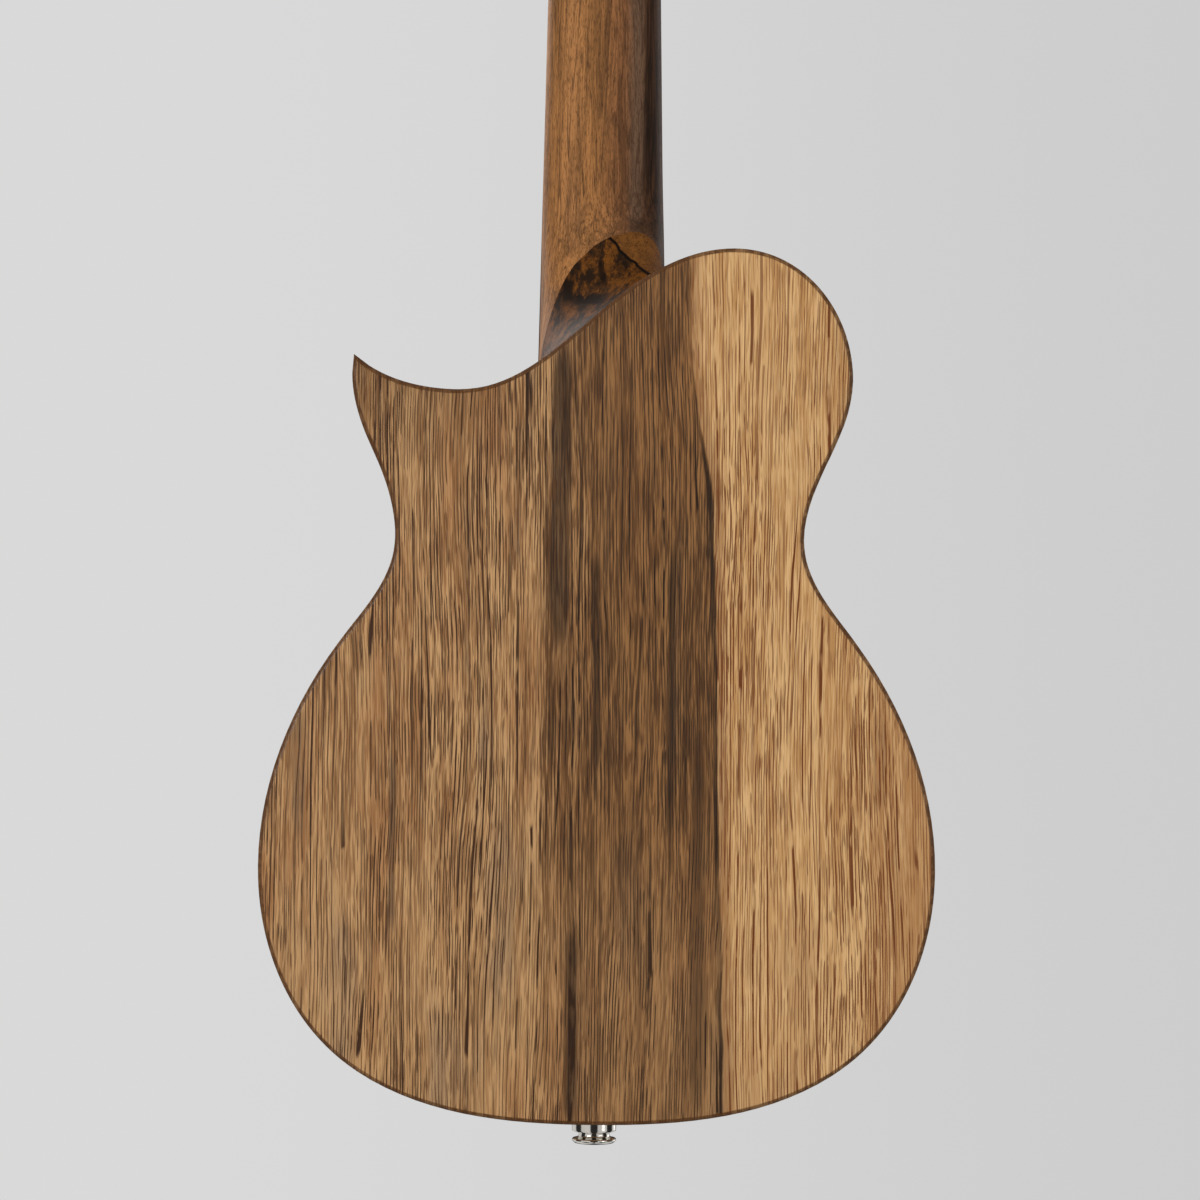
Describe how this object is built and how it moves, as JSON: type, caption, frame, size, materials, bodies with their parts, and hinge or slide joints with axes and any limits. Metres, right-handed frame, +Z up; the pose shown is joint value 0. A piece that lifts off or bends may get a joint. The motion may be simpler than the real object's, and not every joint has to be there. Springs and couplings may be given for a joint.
{
  "type": "tenor ukulele",
  "caption": "Tenor ukulele with a thin hollow body, one cutaway, a glued-up heel, open-gear tuners and an end-pin jack that doubles as the strap button.",
  "frame": {"origin": "on the centreline at the front edge of the nut, on the plane that the fretboard is glued to, which is also the front of the soundboard", "axes": "+Z up the neck towards the headstock, -Y out of the soundboard towards the strings, +X towards the treble side with the cutaway"},
  "size_m": [0.2292, 0.0714, 0.6493],
  "materials": {
    "figured_limba": "oiled satin, straight grain with dark figure",
    "limba_side": "oiled satin",
    "spruce_and_cedar": "bare, unfinished",
    "oiled_neck_wood": "oiled satin",
    "dark_heel_wood": "oiled satin end grain",
    "rosewood": "oiled, close pores",
    "bone": "polished bone",
    "nickel_plate": "bright nickel",
    "brass": "machined brass",
    "carbon_bar": "carbon fibre bar",
    "clear_string": "clear fluorocarbon",
    "lead_jacket": "black jacket"
  },
  "bodies": {
    "instrument": {"top_plate": "figured_limba", "back_plate": "figured_limba", "side_bass": "limba_side", "side_treble": "limba_side", "side_cutaway": "limba_side", "neck_block": "spruce_and_cedar", "tail_block": "spruce_and_cedar", "horn_block": "spruce_and_cedar", "top_lining_bass": "spruce_and_cedar", "top_lining_cutaway": "spruce_and_cedar", "top_lining_treble": "spruce_and_cedar", "back_lining_bass": "spruce_and_cedar", "back_lining_cutaway": "spruce_and_cedar", "back_lining_treble": "spruce_and_cedar", "back_brace_upper": "spruce_and_cedar", "back_brace_lower": "spruce_and_cedar", "top_bar_upper": "spruce_and_cedar", "top_bar_lower": "spruce_and_cedar", "fan_brace_bass": "spruce_and_cedar", "fan_brace_centre": "spruce_and_cedar", "fan_brace_treble": "spruce_and_cedar", "bridge_plate": "spruce_and_cedar", "bridge": "rosewood", "saddle": "bone", "pickup_strip": "nickel_plate", "pickup_lead": "lead_jacket", "neck": "oiled_neck_wood", "heel_block": "dark_heel_wood", "headstock_overlay": "rosewood", "neck_rod": "carbon_bar", "fretboard": "rosewood", "nut": "bone", "strap_button": "nickel_plate", "jack_barrel": "nickel_plate", "jack_nut": "nickel_plate", "jack_washer": "nickel_plate", "tuner_plate_g": "nickel_plate", "tuner_plate_c": "nickel_plate", "tuner_plate_e": "nickel_plate", "tuner_plate_a": "nickel_plate", "string_g": "clear_string", "string_c": "clear_string", "string_e": "clear_string", "string_a": "clear_string"},
    "knob_g": {"tuner_knob_g": "nickel_plate", "worm_shaft_g": "nickel_plate"},
    "knob_c": {"tuner_knob_c": "nickel_plate", "worm_shaft_c": "nickel_plate"},
    "knob_e": {"tuner_knob_e": "nickel_plate", "worm_shaft_e": "nickel_plate"},
    "knob_a": {"tuner_knob_a": "nickel_plate", "worm_shaft_a": "nickel_plate"},
    "post_g": {"string_post_g": "nickel_plate", "cog_g": "brass"},
    "post_c": {"string_post_c": "nickel_plate", "cog_c": "brass"},
    "post_e": {"string_post_e": "nickel_plate", "cog_e": "brass"},
    "post_a": {"string_post_a": "nickel_plate", "cog_a": "brass"}
  },
  "joints": [
    {"name": "knob_turn_g", "type": "hinge", "parent": "instrument", "child": "knob_g", "pos_m": [-0.0195, 0.02415, 0.0334], "axis": [1, 0, 0], "continuous": true},
    {"name": "knob_turn_c", "type": "hinge", "parent": "instrument", "child": "knob_c", "pos_m": [-0.0195, 0.03288, 0.07448], "axis": [1, 0, 0], "continuous": true},
    {"name": "knob_turn_e", "type": "hinge", "parent": "instrument", "child": "knob_e", "pos_m": [0.0195, 0.03288, 0.07448], "axis": [1, 0, 0], "continuous": true},
    {"name": "knob_turn_a", "type": "hinge", "parent": "instrument", "child": "knob_a", "pos_m": [0.0195, 0.02415, 0.0334], "axis": [1, 0, 0], "continuous": true},
    {"name": "post_turn_g", "type": "hinge", "parent": "instrument", "child": "post_g", "pos_m": [-0.0195, 0.00832, 0.04413], "axis": [0, 0.9781, -0.2079], "continuous": true},
    {"name": "post_turn_c", "type": "hinge", "parent": "instrument", "child": "post_c", "pos_m": [-0.0195, 0.01705, 0.08521], "axis": [0, 0.9781, -0.2079], "continuous": true},
    {"name": "post_turn_e", "type": "hinge", "parent": "instrument", "child": "post_e", "pos_m": [0.0195, 0.01705, 0.08521], "axis": [0, 0.9781, -0.2079], "continuous": true},
    {"name": "post_turn_a", "type": "hinge", "parent": "instrument", "child": "post_a", "pos_m": [0.0195, 0.00832, 0.04413], "axis": [0, 0.9781, -0.2079], "continuous": true}
  ],
  "couplings": [
    {"joint": "post_turn_g", "follows": "knob_turn_g", "ratio": -0.071429},
    {"joint": "post_turn_c", "follows": "knob_turn_c", "ratio": -0.071429},
    {"joint": "post_turn_e", "follows": "knob_turn_e", "ratio": 0.071429},
    {"joint": "post_turn_a", "follows": "knob_turn_a", "ratio": 0.071429}
  ]
}
